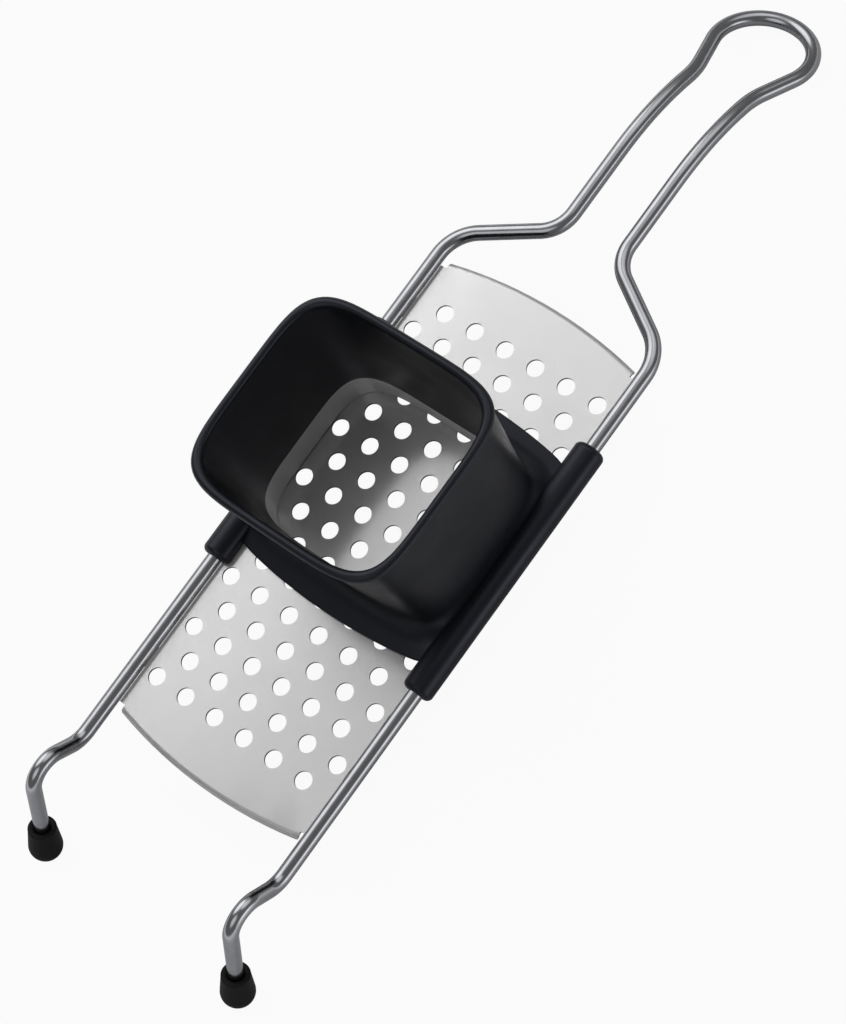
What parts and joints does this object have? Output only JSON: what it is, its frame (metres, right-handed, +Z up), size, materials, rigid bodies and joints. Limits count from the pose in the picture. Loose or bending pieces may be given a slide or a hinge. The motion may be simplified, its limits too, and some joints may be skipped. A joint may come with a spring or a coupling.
{
  "type": "spaetzle maker",
  "caption": "Spaetzle maker: a perforated steel sheet in a bent-wire frame with a looped handle and hooked legs, and a plastic dough hopper that slides on the frame's two rails.",
  "frame": {"origin": "on the table that the foot caps and the handle's tip rest on, under the middle of the whole length and width", "axes": "+Y along the rails towards the handle, +X across the rails towards the right-hand rail, +Z up towards the hopper's rim"},
  "size_m": [0.1112, 0.4296, 0.1045],
  "materials": {
    "polished_wire": "bright polished stainless wire",
    "satin_sheet": "satin stainless sheet",
    "weld_metal": "bare weld",
    "hopper_plastic": "fine matte moulding",
    "cap_rubber": "matte"
  },
  "bodies": {
    "frame": {"wire_frame": "polished_wire", "perforated_plate": "satin_sheet", "weld_beads": "weld_metal", "left_foot_cap": "cap_rubber", "right_foot_cap": "cap_rubber"},
    "hopper": {"hopper": "hopper_plastic"}
  },
  "joints": [
    {"name": "hopper_slide", "type": "slide", "parent": "frame", "child": "hopper", "axis": [0, 1, 0], "range_m": [-0.077, 0.031]}
  ]
}
